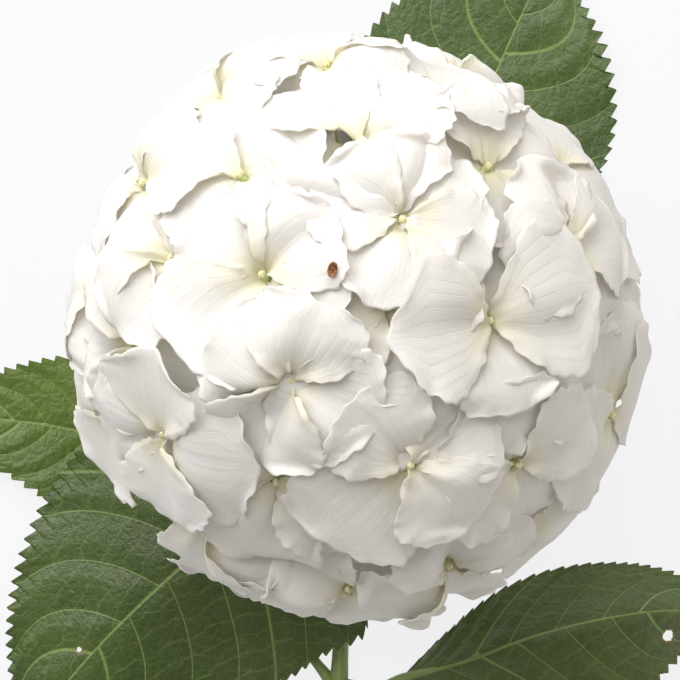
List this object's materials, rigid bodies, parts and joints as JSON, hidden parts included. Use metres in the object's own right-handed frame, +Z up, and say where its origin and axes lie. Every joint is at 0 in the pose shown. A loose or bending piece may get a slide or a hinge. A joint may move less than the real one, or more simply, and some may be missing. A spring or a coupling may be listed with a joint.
{
  "type": "cut hydrangea",
  "caption": "Cut mophead hydrangea lying down: a ball of broad white four-petalled florets on a green stem with serrated ovate leaves.",
  "frame": {"origin": "middle of the underside of the whole flower's box, on the surface it lies on", "axes": "+Z up from the surface it lies on; +Y from the cut end of the stem to the flower head; +X to the right when seen from above with the head at the far end"},
  "size_m": [0.264, 0.4174, 0.1773],
  "materials": {
    "petal": "matte, thin and translucent, creamy green at the base",
    "branch": "matte, pale green",
    "leaf": "satin, netted with paler veins",
    "stem": "satin olive green with small pale lenticels"
  },
  "bodies": {
    "root": {"floret_01": "petal", "floret_02": "petal", "floret_03": "petal", "floret_04": "petal", "floret_05": "petal", "floret_06": "petal", "floret_07": "petal", "floret_08": "petal", "floret_09": "petal", "floret_10": "petal", "floret_11": "petal", "floret_12": "petal", "floret_13": "petal", "floret_14": "petal", "floret_15": "petal", "floret_16": "petal", "floret_17": "petal", "floret_18": "petal", "floret_19": "petal", "floret_20": "petal", "floret_21": "petal", "floret_22": "petal", "floret_23": "petal", "floret_24": "petal", "floret_25": "petal", "floret_26": "petal", "floret_27": "petal", "floret_28": "petal", "floret_29": "petal", "floret_30": "petal", "floret_31": "petal", "floret_32": "petal", "floret_33": "petal", "floret_34": "petal", "floret_35": "petal", "floret_36": "petal", "floret_37": "petal", "floret_38": "petal", "floret_39": "petal", "floret_40": "petal", "floret_41": "petal", "floret_42": "petal", "floret_43": "petal", "floret_44": "petal", "floret_45": "petal", "floret_46": "petal", "floret_47": "petal", "floret_48": "petal", "flower_branch_1": "branch", "flower_branch_2": "branch", "flower_branch_3": "branch", "flower_branch_4": "branch", "flower_branch_5": "branch", "flower_branch_6": "branch", "leaf_left": "leaf", "leaf_lower_left": "leaf", "leaf_lower_right": "leaf", "leaf_upper_right": "leaf", "stem": "stem"}
  },
  "joints": []
}
